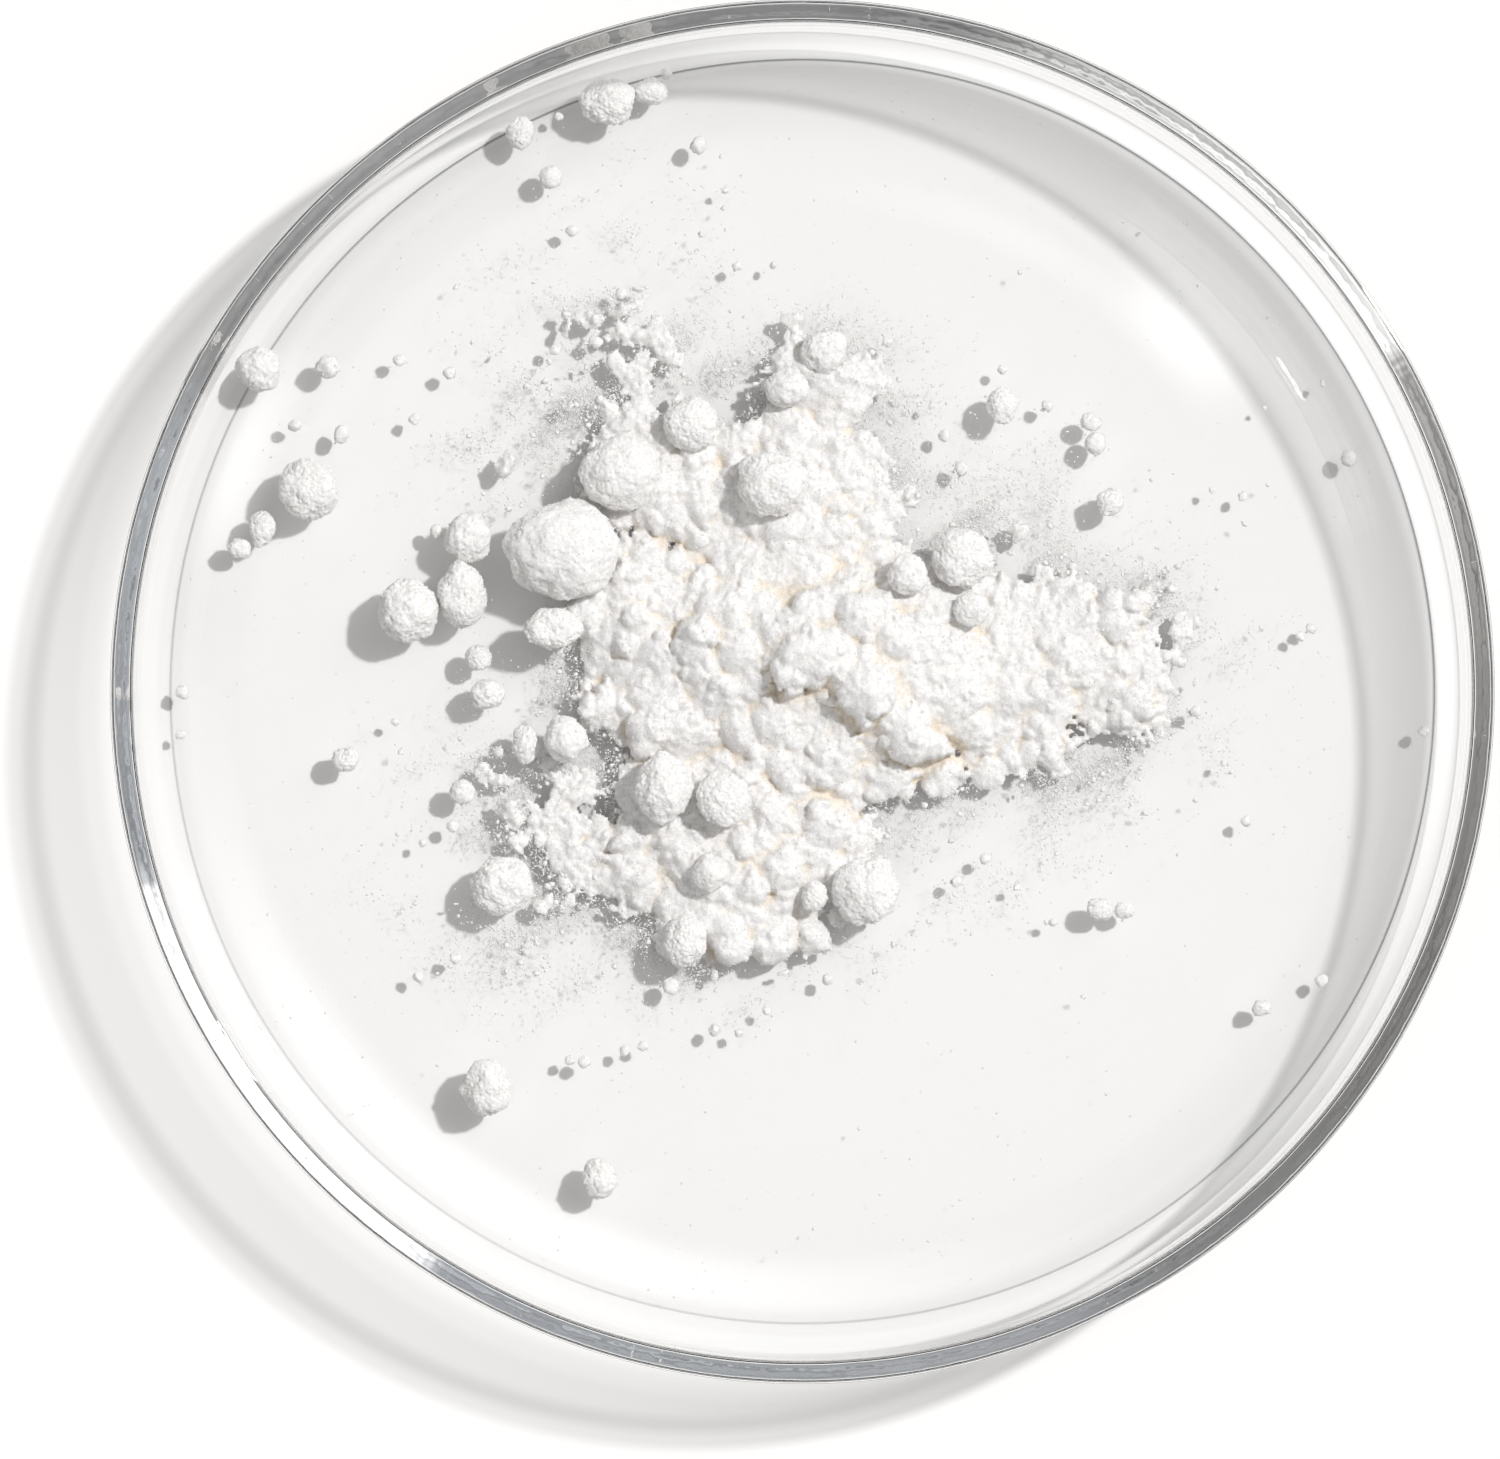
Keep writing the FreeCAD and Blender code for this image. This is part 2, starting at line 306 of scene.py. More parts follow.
def glass_material():
    """Clear glass. Light that only passes through it is dimmed at grazing angles and in the bends."""
    material = bpy.data.materials.new("clear_glass")
    material.use_nodes = True
    tree = material.node_tree
    tree.nodes.clear()
    link = tree.links.new
    out = node_of(tree, "ShaderNodeOutputMaterial")
    glass = node_of(tree, "ShaderNodeBsdfPrincipled")
    glass.inputs["Base Color"].default_value = (1, 1, 1, 1)
    glass.inputs["Roughness"].default_value = 0.0
    glass.inputs["IOR"].default_value = 1.47
    glass.inputs["Transmission Weight"].default_value = 1.0

    # Painted shade: a dark line is painted into the glass's colour along the foot ring's edge, strongest on
    # the side towards the light.
    place = node_of(tree, "ShaderNodeTexCoord")
    flat = node_of(tree, "ShaderNodeVectorMath", operation="MULTIPLY")
    flat.inputs[1].default_value = (1, 1, 0)
    radius = node_of(tree, "ShaderNodeVectorMath", operation="LENGTH")
    split = node_of(tree, "ShaderNodeSeparateXYZ")
    low = node_of(tree, "ShaderNodeMath", operation="LESS_THAN")
    low.inputs[1].default_value = 0.3 * MM
    side = node_of(tree, "ShaderNodeVectorMath", operation="DOT_PRODUCT")
    side.inputs[1].default_value = (0.64, 0.77, 0.0)
    strength = node_of(tree, "ShaderNodeMapRange")
    strength.inputs["From Min"].default_value = -FOOT_INNER_RADIUS
    strength.inputs["From Max"].default_value = 0.3 * FOOT_INNER_RADIUS
    strength.inputs["To Min"].default_value = 0.45
    strength.inputs["To Max"].default_value = 1.0
    painted_line_on_foot = node_of(tree, "ShaderNodeMath", operation="MULTIPLY")
    edge = node_of(tree, "ShaderNodeMath", operation="MULTIPLY")
    body = node_of(tree, "ShaderNodeMix", data_type="RGBA")
    body.inputs["A"].default_value = (1, 1, 1, 1)
    body.inputs["B"].default_value = (0.12, 0.12, 0.13, 1)
    link(place.outputs["Object"], flat.inputs[0])
    link(flat.outputs[0], radius.inputs[0])
    link(place.outputs["Object"], split.inputs[0])
    link(split.outputs["Z"], low.inputs[0])
    link(flat.outputs[0], side.inputs[0])
    link(side.outputs["Value"], strength.inputs["Value"])
    line_radius = FOOT_INNER_RADIUS - FOOT_SLOPE / 2.0
    link(soft_step(tree, radius.outputs["Value"], line_radius, PAINTED_FOOT_LINE), painted_line_on_foot.inputs[0])
    link(low.outputs[0], painted_line_on_foot.inputs[1])
    link(painted_line_on_foot.outputs[0], edge.inputs[0])
    link(strength.outputs["Result"], edge.inputs[1])
    link(edge.outputs[0], body.inputs["Factor"])
    link(body.outputs["Result"], glass.inputs["Base Color"])

    waves = node_of(tree, "ShaderNodeTexNoise")
    waves.inputs["Scale"].default_value = 260.0
    waves.inputs["Detail"].default_value = 3.0
    relief = node_of(tree, "ShaderNodeBump")
    relief.inputs["Strength"].default_value = 0.04
    relief.inputs["Distance"].default_value = 0.0004
    link(place.outputs["Object"], waves.inputs["Vector"])
    link(waves.outputs["Fac"], relief.inputs["Height"])
    link(relief.outputs["Normal"], glass.inputs["Normal"])

    facing = node_of(tree, "ShaderNodeLayerWeight")
    facing.inputs["Blend"].default_value = 0.5
    grazing = node_of(tree, "ShaderNodeMath", operation="POWER")
    grazing.inputs[1].default_value = 5.0
    passed = node_of(tree, "ShaderNodeMapRange")
    passed.inputs["To Min"].default_value = 0.965
    passed.inputs["To Max"].default_value = 0.0
    bend = node_of(tree, "ShaderNodeAttribute", attribute_name="loss")
    bend_loss = node_of(tree, "ShaderNodeMapRange")
    bend_loss.inputs["To Min"].default_value = 1.0
    bend_loss.inputs["From Max"].default_value = 2.0
    bend_loss.inputs["To Max"].default_value = 0.45
    dimmed = node_of(tree, "ShaderNodeMath", operation="MULTIPLY")
    clear = node_of(tree, "ShaderNodeBsdfTransparent")
    link(facing.outputs["Facing"], grazing.inputs[0])
    link(grazing.outputs[0], passed.inputs["Value"])
    link(bend.outputs["Fac"], bend_loss.inputs["Value"])
    link(passed.outputs["Result"], dimmed.inputs[0])
    link(bend_loss.outputs["Result"], dimmed.inputs[1])
    link(dimmed.outputs[0], clear.inputs["Color"])

    path = node_of(tree, "ShaderNodeLightPath")
    in_shadow = node_of(tree, "ShaderNodeMixShader")
    in_bounce = node_of(tree, "ShaderNodeMixShader")
    link(path.outputs["Is Shadow Ray"], in_shadow.inputs["Fac"])
    link(glass.outputs["BSDF"], in_shadow.inputs[1])
    link(clear.outputs["BSDF"], in_shadow.inputs[2])
    link(path.outputs["Is Diffuse Ray"], in_bounce.inputs["Fac"])
    link(in_shadow.outputs["Shader"], in_bounce.inputs[1])
    link(clear.outputs["BSDF"], in_bounce.inputs[2])
    link(in_bounce.outputs["Shader"], out.inputs["Surface"])
    return material


# ---- powder

def powder_material(name, loose=False):
    """Dry white powder, with painted darker cream shade in its hollows. Loose dust lets part of the light
    through.
    """
    material = bpy.data.materials.new(name)
    material.use_nodes = True
    tree = material.node_tree
    link = tree.links.new
    shader = tree.nodes["Principled BSDF"]
    shader.inputs["Roughness"].default_value = 1.0
    shader.inputs["Specular IOR Level"].default_value = 0.15
    shader.inputs["Subsurface Weight"].default_value = 0.2
    shader.inputs["Subsurface Radius"].default_value = (1.0, 0.92, 0.8)
    shader.inputs["Subsurface Scale"].default_value = 0.0004

    place = node_of(tree, "ShaderNodeTexCoord")
    mottle = node_of(tree, "ShaderNodeTexNoise")
    mottle.inputs["Scale"].default_value = 1500.0
    mottle.inputs["Detail"].default_value = 4.0
    painted_hollow_shade = node_of(tree, "ShaderNodeAttribute", attribute_name="painted_hollow_shade")
    added = node_of(tree, "ShaderNodeMath", operation="MULTIPLY_ADD")
    added.inputs[1].default_value = 0.5
    # Painted shade: the colour runs from white to a darker cream where the surface lies in a hollow; the
    # mottle adds random tone on top.
    tone_and_hollow_shade = node_of(tree, "ShaderNodeValToRGB")
    tone_and_hollow_shade.color_ramp.elements[0].position = 0.35
    tone_and_hollow_shade.color_ramp.elements[0].color = (0.915, 0.899, 0.884, 1)
    tone_and_hollow_shade.color_ramp.elements[1].position = 1.1
    tone_and_hollow_shade.color_ramp.elements[1].color = (0.87, 0.79, 0.68, 1)
    link(place.outputs["Object"], mottle.inputs["Vector"])
    link(mottle.outputs["Fac"], added.inputs[0])
    link(painted_hollow_shade.outputs["Fac"], added.inputs[2])
    link(added.outputs[0], tone_and_hollow_shade.inputs["Fac"])
    specks = node_of(tree, "ShaderNodeTexNoise")
    specks.inputs["Scale"].default_value = 5200.0
    specks.inputs["Detail"].default_value = 3.0
    specks.inputs["Roughness"].default_value = 0.8
    shade = node_of(tree, "ShaderNodeMapRange")
    shade.inputs["From Min"].default_value = 0.36
    shade.inputs["From Max"].default_value = 0.6
    shade.inputs["To Min"].default_value = 0.84
    shade.inputs["To Max"].default_value = 1.0
    speckled = node_of(tree, "ShaderNodeMix", data_type="RGBA", blend_type="MULTIPLY")
    speckled.inputs["Factor"].default_value = 1.0
    link(place.outputs["Object"], specks.inputs["Vector"])
    link(specks.outputs["Fac"], shade.inputs["Value"])
    link(tone_and_hollow_shade.outputs["Color"], speckled.inputs["A"])
    link(shade.outputs["Result"], speckled.inputs["B"])
    link(speckled.outputs["Result"], shader.inputs["Base Color"])

    fine = node_of(tree, "ShaderNodeTexNoise")
    fine.inputs["Scale"].default_value = 5000.0
    fine.inputs["Detail"].default_value = 5.0
    fine.inputs["Roughness"].default_value = 0.7
    relief = node_of(tree, "ShaderNodeBump")
    relief.inputs["Strength"].default_value = 0.5
    relief.inputs["Distance"].default_value = 0.00012
    link(place.outputs["Object"], fine.inputs["Vector"])
    link(fine.outputs["Fac"], relief.inputs["Height"])
    link(relief.outputs["Normal"], shader.inputs["Normal"])
    if loose:
        path = node_of(tree, "ShaderNodeLightPath")
        veil = node_of(tree, "ShaderNodeBsdfTransparent")
        veil.inputs["Color"].default_value = (0.72, 0.72, 0.72, 1)
        mix = node_of(tree, "ShaderNodeMixShader")
        link(path.outputs["Is Shadow Ray"], mix.inputs["Fac"])
        link(shader.outputs["BSDF"], mix.inputs[1])
        link(veil.outputs["BSDF"], mix.inputs[2])
        link(mix.outputs["Shader"], tree.nodes["Material Output"].inputs["Surface"])
    return material


def heap_height(x, y):
    """Height of the mound's broad shape above the glass, below zero outside it."""
    bend_x = x + 1.6 * fractal_noise(x / 7.0, y / 7.0, 0.0 * x + 3.3, 3)
    bend_y = y + 1.6 * fractal_noise(x / 7.0, y / 7.0, 0.0 * x + 9.1, 3)
    height = np.full(np.shape(x), -9.0)
    for heap_x, heap_y, half_x, half_y, rise in HEAPS:
        away = ((bend_x - heap_x) / half_x) ** 2 + ((bend_y - heap_y) / half_y) ** 2
        height = np.maximum(height, rise * (1.0 - away))
    for top_x, top_y, half_x, half_y, rise, angle in TOPS:
        turn = math.radians(angle)
        across = (bend_x - top_x) * math.cos(turn) + (bend_y - top_y) * math.sin(turn)
        along = (bend_y - top_y) * math.cos(turn) - (bend_x - top_x) * math.sin(turn)
        away = (across / half_x) ** 2 + (along / half_y) ** 2
        height = height + rise * np.clip(1.25 * (1.0 - away ** 1.5), 0.0, 1.0)
    return height + 0.4 * fractal_noise(x / 3.4, y / 3.4, 0.0 * x, 3)


def stamp_balls(height, xs, ys, balls):
    """Raise the height field to the tops of round clumps. Each ball is x, y, radius, sunk share."""
    low_x, low_y = xs[0], ys[0]
    for x, y, radius, sunk in balls:
        i = int((x - low_x) / MOUND_STEP)
        j = int((y - low_y) / MOUND_STEP)
        if not (0 <= i < len(xs) and 0 <= j < len(ys)):
            continue
        centre = max(height[j, i], 0.0) - sunk * radius
        reach = int(radius / MOUND_STEP) + 2
        a, b = max(i - reach, 0), min(i + reach + 1, len(xs))
        c, d = max(j - reach, 0), min(j + reach + 1, len(ys))
        away = (xs[None, a:b] - x) ** 2 + (ys[c:d, None] - y) ** 2
        top = centre + np.sqrt(np.clip(radius ** 2 - away, 0.0, None))
        patch = height[c:d, a:b]
        patch[...] = np.where(away < radius ** 2, np.maximum(patch, top), patch)


def scattered_balls(rng, count, height, xs, ys, small, large, sunk_low, sunk_high, fade):
    """Random balls, mostly small, on the mound and over the fade distance past its edge."""
    balls = []
    while len(balls) < count:
        x = rng.uniform(xs[0], xs[-1])
        y = rng.uniform(ys[0], ys[-1])
        here = height[int((y - ys[0]) / MOUND_STEP), int((x - xs[0]) / MOUND_STEP)]
        if rng.random() < math.exp(min(here, 0.0) / fade):
            radius = small + (large - small) * rng.random() ** 2.5
            balls.append((x, y, radius, rng.uniform(sunk_low, sunk_high)))
    return balls


def blurred(field, rounds):
    """The field smoothed with its neighbours."""
    for _ in range(rounds):
        field = (2.0 * field + np.roll(field, 1, 0) + np.roll(field, -1, 0)) / 4.0
        field = (2.0 * field + np.roll(field, 1, 1) + np.roll(field, -1, 1)) / 4.0
    return field


def shifted(field, shift_x, shift_y):
    """The field with each place moved sideways by a part of a grid step or more."""
    rows, columns = np.indices(field.shape)
    x = np.clip(columns + shift_x, 0.0, field.shape[1] - 1.001)
    y = np.clip(rows + shift_y, 0.0, field.shape[0] - 1.001)
    i, j = x.astype(int), y.astype(int)
    u, v = x - i, y - j
    near = field[j, i] * (1.0 - u) + field[j, i + 1] * u
    far = field[j + 1, i] * (1.0 - u) + field[j + 1, i + 1] * u
    return near * (1.0 - v) + far * v


def mound_field():
    """The mound's surface as heights above the glass on a square grid."""
    rng = np.random.default_rng(21)
    xs = np.arange(-26.0, 30.0, MOUND_STEP)
    ys = np.arange(-23.0, 29.5, MOUND_STEP)
    grid_x, grid_y = np.meshgrid(xs, ys)
    height = heap_height(grid_x, grid_y)
    thin = np.clip(1.0 - height / 1.1, 0.0, 1.0)
    ragged = fractal_noise(grid_x / 1.3, grid_y / 1.3, 0.0 * grid_x + 2.0, 4, 0.65)
    height -= 0.6 * thin * (0.8 + 1.5 * ragged)
    for width, rise, angle in ((2.6, 0.8, 0.5), (1.2, 0.3, 1.3), (0.55, 0.1, 2.1)):
        across = (grid_x * math.cos(angle) + grid_y * math.sin(angle)) / width
        along = (grid_y * math.cos(angle) - grid_x * math.sin(angle)) / width
        billow = np.abs(smooth_noise(across, along, 0.3 * across + 0.4 * along + width, NOISE_TABLE))
        height += rise * (billow - 0.35)
    stamp_balls(height, xs, ys, [(x, y, r, 0.5) for x, y, r in CLUMPS])
    stamp_balls(height, xs, ys, scattered_balls(rng, 110, height, xs, ys, 0.8, 1.8, 0.5, 0.9, 0.05))
    stamp_balls(height, xs, ys, scattered_balls(rng, 1500, height, xs, ys, 0.28, 0.8, 0.4, 0.85, 0.2))
    stamp_balls(height, xs, ys, scattered_balls(rng, 6000, height, xs, ys, 0.14, 0.34, 0.3, 0.9, 0.35))
    bend_x = fractal_noise(grid_x / 1.4, grid_y / 1.4, 0.0 * grid_x + 11.0, 3, 0.5)
    bend_y = fractal_noise(grid_x / 1.4, grid_y / 1.4, 0.0 * grid_x + 17.0, 3, 0.5)
    height = shifted(height, bend_x * 0.22 / MOUND_STEP, bend_y * 0.22 / MOUND_STEP)
    height += 0.07 * fractal_noise(grid_x / 0.6, grid_y / 0.6, 0.0 * grid_x + 5.0, 4, 0.7)
    height += 0.07 * (grain_noise(grid_x / 0.27, grid_y / 0.27, height / 0.27) - 0.5)
    return xs, ys, height


def make_mound(xs, ys, height):
    """The mound as a closed mesh: its surface, a skirt and a flat underside."""
    # Painted shade: how far each place lies below its smoothed surroundings, for a darker cream tint in the
    # material.
    painted_hollow_shade = blurred(height, 70) - height
    inside = height > MOUND_EDGE
    cells = inside[:-1, :-1] & inside[:-1, 1:] & inside[1:, :-1] & inside[1:, 1:]
    used = np.zeros(height.shape, bool)
    for j in (0, 1):
        for i in (0, 1):
            used[j:j + cells.shape[0], i:i + cells.shape[1]] |= cells
    number = np.full(height.shape, -1)
    number[used] = np.arange(used.sum())
    rows, columns = np.nonzero(used)
    verts = np.stack([xs[columns] * MM, ys[rows] * MM, (BED + height[rows, columns]) * MM], axis=1)
    j, i = np.nonzero(cells)
    faces = np.stack([number[j, i], number[j, i + 1], number[j + 1, i + 1], number[j + 1, i]], axis=1)

    edges = {}
    for face in faces.tolist():
        for k in range(4):
            start, end = face[k], face[(k + 1) % 4]
            if edges.pop((end, start), None) is None:
                edges[(start, end)] = True
    border = sorted({v for edge in edges for v in edge})
    below = {v: len(verts) + k for k, v in enumerate(border)}
    skirt = [(end, start, below[start], below[end]) for start, end in edges]
    flat = [Vector((columns[v], rows[v])) for v in border]
    place = {v: k for k, v in enumerate(border)}
    cut = [(place[start], place[end]) for start, end in edges]
    corners, _, triangles, origin, _, _ = delaunay_2d_cdt(flat, cut, [], 1, 0.001)
    under = []
    for triangle in triangles:
        middle = sum((corners[k] for k in triangle), Vector((0.0, 0.0))) / 3.0
        if cells[int(middle.y), int(middle.x)]:
            under.append(tuple(below[border[origin[k][0]]] for k in reversed(triangle)))
    lower = verts[border].copy()
    lower[:, 2] = BED * MM
    piece = build_mesh("mound_of_fine_powder", np.concatenate([verts, lower]), faces.tolist() + skirt + under)
    painted_hollow_shade = np.clip((painted_hollow_shade[rows, columns] - 0.08) * 1.6, 0.0, 1.0)
    add_values(piece, "painted_hollow_shade", np.concatenate([painted_hollow_shade, np.zeros(len(border))]))
    return piece


def ball_mesh(level):
    """Vertices and faces of an icosphere of radius one."""
    mesh = bmesh.new()
    bmesh.ops.create_icosphere(mesh, subdivisions=level, radius=1.0)
    verts = np.array([v.co[:] for v in mesh.verts])
    faces = np.array([[v.index for v in f.verts] for f in mesh.faces])
    mesh.free()
    return verts, faces


BALLS = {level: ball_mesh(level) for level in (1, 2, 3, 4, 5, 6)}
BALLS[0] = (                  # an octahedron, for the finest grains
    np.array([(1, 0, 0), (-1, 0, 0), (0, 1, 0), (0, -1, 0), (0, 0, 1), (0, 0, -1)], float),
    np.array([(0, 2, 4), (2, 1, 4), (1, 3, 4), (3, 0, 4), (2, 0, 5), (1, 2, 5), (3, 1, 5), (0, 3, 5)]),
)


def rough_ball(level, centre, half, seed, lumpy=0.12):
    """Vertices of a clump of powder in mm, and how much painted hollow shade each place on it gets."""
    unit = BALLS[level][0]
    shift = seed * 11.7
    size = float(np.mean(half))
    spot = unit * np.array(half)
    broad = fractal_noise(unit[:, 0] * 1.1 + shift, unit[:, 1] * 1.1, unit[:, 2] * 1.1 - shift, 3)
    middle = fractal_noise(spot[:, 0] / 0.9 + shift, spot[:, 1] / 0.9 - shift, spot[:, 2] / 0.9, 3)
    fine = grain_noise(spot[:, 0] / 0.26 + shift, spot[:, 1] / 0.26, spot[:, 2] / 0.26)
    finer = smooth_noise(spot[:, 0] / 0.13, spot[:, 1] / 0.13 + shift, spot[:, 2] / 0.13, NOISE_TABLE)
    rough = min(0.16, 0.11 * size) * middle + min(0.15, 0.13 * size) * (fine - 0.6) + 0.05 * finer
    rise = size * lumpy * (broad - 0.2) + rough
    out = unit * rise[:, None] + spot
    # Painted shade where the surface dips below the clump's broad shape.
    painted_hollow_shade = np.clip(-2.5 * rough, 0.0, 1.0)
    out = out + np.array(centre)
    out[:, 2] = np.maximum(out[:, 2], BED)
    return out, painted_hollow_shade


def make_lump(node, seed):
    """One loose lump, in the place of its CAD node."""
    low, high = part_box(node)
    centre = np.array((low + high) / 2.0) / MM
    half = np.array((high - low) / 2.0) / MM
    half = np.maximum(half, half.max() * 0.6)
    size = half.max()
    level = 6 if size > 1.9 else 5 if size > 0.9 else 4
    verts, painted_hollow_shade = rough_ball(level, centre, half, seed)
    piece = build_mesh(node.replace("lump", "powder_lump"), verts * MM, BALLS[level][1].tolist())
    add_values(piece, "painted_hollow_shade", painted_hollow_shade * 0.6)
    return piece


def crumb_places(node):
    """Centre and half size in mm of every separate solid in a crumbs node."""
    mesh = bmesh.new()
    mesh.from_mesh(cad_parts[node].data)
    bmesh.ops.remove_doubles(mesh, verts=mesh.verts, dist=1e-7)
    left = set(mesh.verts)
    places = []
    while left:
        front = [left.pop()]
        points = []
        while front:
            vert = front.pop()
            points.append(vert.co[:])
            for edge in vert.link_edges:
                other = edge.other_vert(vert)
                if other in left:
                    left.remove(other)
                    front.append(other)
        points = np.array(points) / MM
        places.append(((points.min(0) + points.max(0)) / 2.0, (points.max(0) - points.min(0)) / 2.0))
    mesh.free()
    return sorted(places, key=lambda place: tuple(place[0]))


def joined_balls(name, balls):
    """One mesh out of (level, vertices, painted hollow shade) balls."""
    verts, faces, painted_hollow_shades = [], [], []
    start = 0
    for level, points, painted_hollow_shade in balls:
        verts.append(points)
        faces.append(BALLS[level][1] + start)
        painted_hollow_shades.append(painted_hollow_shade)
        start += len(points)
    piece = build_mesh(name, np.concatenate(verts) * MM, np.concatenate(faces).tolist())
    add_values(piece, "painted_hollow_shade", np.concatenate(painted_hollow_shades))
    return piece


def make_crumbs(node, seed):
    """The loose crumbs of one region."""
    balls = []
    for number, (centre, half) in enumerate(crumb_places(node)):
        verts, painted_hollow_shade = rough_ball(3, centre, half, seed + 0.37 * number, lumpy=0.25)
        balls.append((3, verts, painted_hollow_shade * 0.5))
    return joined_balls("powder_" + node, balls)


def grain_places(rng, tries, spread):
    """Random places on the bare glass, thick near the mound and thin towards the wall."""
    x = rng.uniform(-45.0, 45.0, tries)
    y = rng.uniform(-45.0, 45.0, tries)
    height = heap_height(x, y)
    patchy = np.clip(0.5 + 0.7 * fractal_noise(x / 2.6, y / 2.6, 0.0 * x + 7.7, 3), 0.0, 1.5)
    nearness = np.exp(np.minimum(height, 0.0) / spread)
    for middle_x, middle_y, half_x, half_y, density in DUSTINGS:
        away = ((x - middle_x) / half_x) ** 2 + ((y - middle_y) / half_y) ** 2
        nearness = np.maximum(nearness, density * np.exp(-away))
    chance = nearness * patchy ** 2 + 0.002
    kept = (np.hypot(x, y) < 45.2) & (height < 0.8) & (rng.random(tries) < chance)
    return x[kept], y[kept]


def make_grains(name, level, x, y, z, radius, rng):
    """Loose grains as one piece. Each is a small uneven ball with its lowest point at its place."""
    unit, faces = BALLS[level]
    count = len(x)
    turn = np.linalg.qr(rng.normal(size=(count, 3, 3)))[0]
    stretch = rng.uniform(0.7, 1.25, size=(count, 1, 3))
    dent = 1.0 + 0.22 * rng.normal(size=(count, len(unit), 1)).clip(-1.5, 1.5)
    points = np.einsum("nij,nvj->nvi", turn, unit[None] * stretch * dent) * radius[:, None, None]
    points[:, :, 0] += x[:, None]
    points[:, :, 1] += y[:, None]
    points[:, :, 2] += (z - points[:, :, 2].min(axis=1))[:, None]
    offsets = np.arange(count)[:, None, None] * len(unit)
    piece = build_mesh(name, points.reshape(-1, 3) * MM, (faces[None] + offsets).reshape(-1, 3).tolist())
    add_values(piece, "painted_hollow_shade", np.zeros(count * len(unit)))
    return piece


def make_dust(material):
    """Fine grains round the mound and the lumps, and a few coarser ones."""
    rng = np.random.default_rng(33)
    x, y = grain_places(rng, 1600000, 1.0)
    radius = 0.03 + 0.08 * rng.random(len(x)) ** 3
    parts = np.array_split(np.arange(len(x)), math.ceil(len(x) / GRAINS_PER_PIECE))
    for number, part in enumerate(parts, start=1):
        bed = np.full(len(part), BED)
        piece = make_grains("powder_dust_" + str(number), 0, x[part], y[part], bed, radius[part], rng)
        make_part(piece, "powder", material)
    x, y = grain_places(rng, 50000, 1.0)
    radius = 0.07 + 0.18 * rng.random(len(x)) ** 3
    piece = make_grains("powder_coarse_grains", 1, x, y, np.full(len(x), BED), radius, rng)
    make_part(piece, "powder", material)


def mound_grain_places(xs, ys, height, rng):
    """Random places on the mound's surface, in mm."""
    rows, columns = np.nonzero(height > MOUND_EDGE)
    count = int(GRAINS_PER_AREA * len(rows) * MOUND_STEP ** 2)
    chosen = rng.integers(0, len(rows), count)
    rows, columns = rows[chosen], columns[chosen]
    half_step = 0.48 * MOUND_STEP
    x = xs[columns] + rng.uniform(-half_step, half_step, count)
    y = ys[rows] + rng.uniform(-half_step, half_step, count)
    return x, y, BED + height[rows, columns]


def lump_grain_places(pieces, rng):
    """Random places on the lumps' surfaces, in mm."""
    places = []
    for piece in pieces:
        points = np.empty(3 * len(piece.data.vertices), dtype=np.float32)
        piece.data.vertices.foreach_get("co", points)
        points = points.reshape(-1, 3).astype(float) / MM
        size = np.ptp(points, axis=0)
        chosen = rng.integers(0, len(points), int(0.5 * GRAINS_PER_AREA * math.pi * size[0] * size[1]))
        places.append(points[chosen])
    return np.concatenate(places).T


def make_clinging_grains(name, x, y, z, rng, material):
    """Fine grains that cling to the powder's surface, half sunk in it."""
    radius = 0.04 + 0.07 * rng.random(len(x)) ** 2
    parts = np.array_split(np.arange(len(x)), math.ceil(len(x) / GRAINS_PER_PIECE))
    for number, part in enumerate(parts, start=1):
        low = np.maximum(z[part] - 1.2 * radius[part], BED)
        piece = make_grains(name + "_" + str(number), 0, x[part], y[part], low, radius[part], rng)
        make_part(piece, "powder", material)


# ---- table, light and camera

def make_table():
    """A plain table top, white and slightly warm, with painted light crescents glowing on it."""
    mesh = bmesh.new()
    bmesh.ops.create_grid(mesh, x_segments=4, y_segments=4, size=6.0)
    data = bpy.data.meshes.new("table")
    mesh.to_mesh(data)
    mesh.free()
    table = bpy.data.objects.new("table", data)
    bpy.context.scene.collection.objects.link(table)
    material = bpy.data.materials.new("table")
    material.use_nodes = True
    shader = material.node_tree.nodes["Principled BSDF"]
    shader.inputs["Base Color"].default_value = (0.953, 0.942, 0.925, 1)
    shader.inputs["Roughness"].default_value = 0.9
    shader.inputs["Specular IOR Level"].default_value = 0.0
    data.materials.append(material)
    add_painted_caustics(material)


# Painted light: glowing patches on the table in place of the light the glass gathers: radius and angle of the
# middle, half width, half angle, strength
PAINTED_CAUSTICS = [
    (43.6 * MM, -122.0, 3.6 * MM, 74.0, 0.22),
    (47.6 * MM, -135.0, 2.6 * MM, 95.0, 0.16),
    (44.0 * MM, 158.0, 3.0 * MM, 15.0, 0.18),
    (38.0 * MM, 43.0, 3.8 * MM, 12.0, 0.20),
    (36.5 * MM, 66.0, 2.0 * MM, 30.0, 0.05),
    (46.9 * MM, 35.0, 2.0 * MM, 125.0, 0.38),
]


